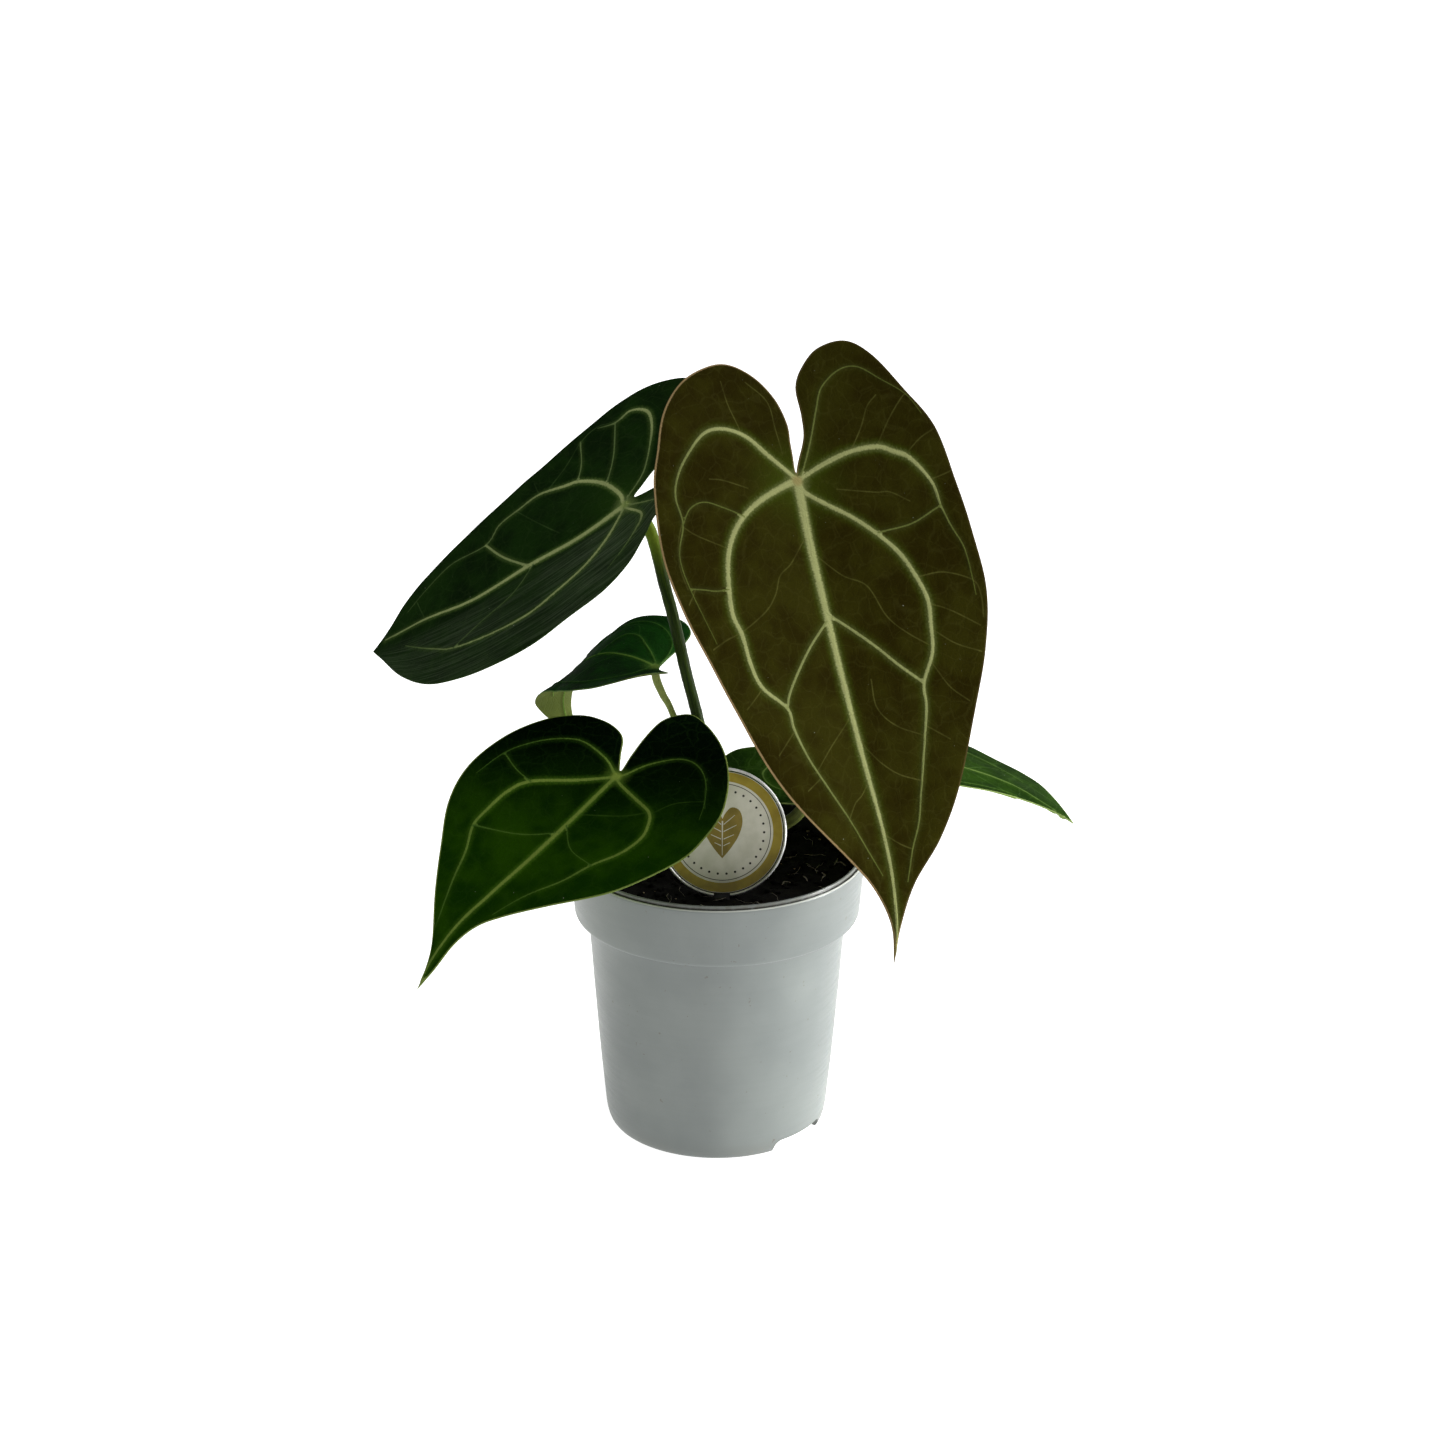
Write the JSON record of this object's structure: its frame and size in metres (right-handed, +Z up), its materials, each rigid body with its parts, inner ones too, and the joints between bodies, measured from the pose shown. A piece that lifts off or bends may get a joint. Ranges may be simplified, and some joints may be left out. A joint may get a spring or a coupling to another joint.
{
  "type": "potted anthurium clarinervium plant",
  "caption": "Potted aroid house plant: velvety heart-shaped leaves with pale veins on slender petioles, in a plastic nursery pot of peat with a round plant label.",
  "frame": {"origin": "middle of the pot's foot, on the surface the pot stands on, within 2.3 mm of the box's bottom centre", "axes": "+Z up along the pot's axis; -Y towards the front, the side that the largest leaf and the label face"},
  "size_m": [0.2876, 0.1717, 0.3179],
  "materials": {
    "pot_plastic": "satin moulded plastic, pale grey",
    "peat": "dull dark peat with pale fibres",
    "stem_skin": "rough, brown-green",
    "petiole_skin": "smooth, softly glossy green",
    "young_leaf": "velvety olive-brown with pale green veins",
    "dark_leaf": "velvety dark green with pale veins",
    "green_leaf": "velvety green with pale veins",
    "label_print": "printed off-white with a plain gold ring",
    "label_ring": "bright silver",
    "stake_plastic": "dark moulded plastic"
  },
  "bodies": {
    "root": {"pot": "pot_plastic", "soil": "peat", "stem": "stem_skin", "petiole_1": "petiole_skin", "petiole_2": "petiole_skin", "petiole_3": "petiole_skin", "petiole_4": "petiole_skin", "petiole_5": "petiole_skin", "leaf_1": "young_leaf", "leaf_2": "dark_leaf", "leaf_3": "green_leaf", "leaf_4": "green_leaf", "leaf_5": "green_leaf", "label_disc": "label_print", "label_bezel": "label_ring", "label_stake": "stake_plastic"}
  },
  "joints": []
}
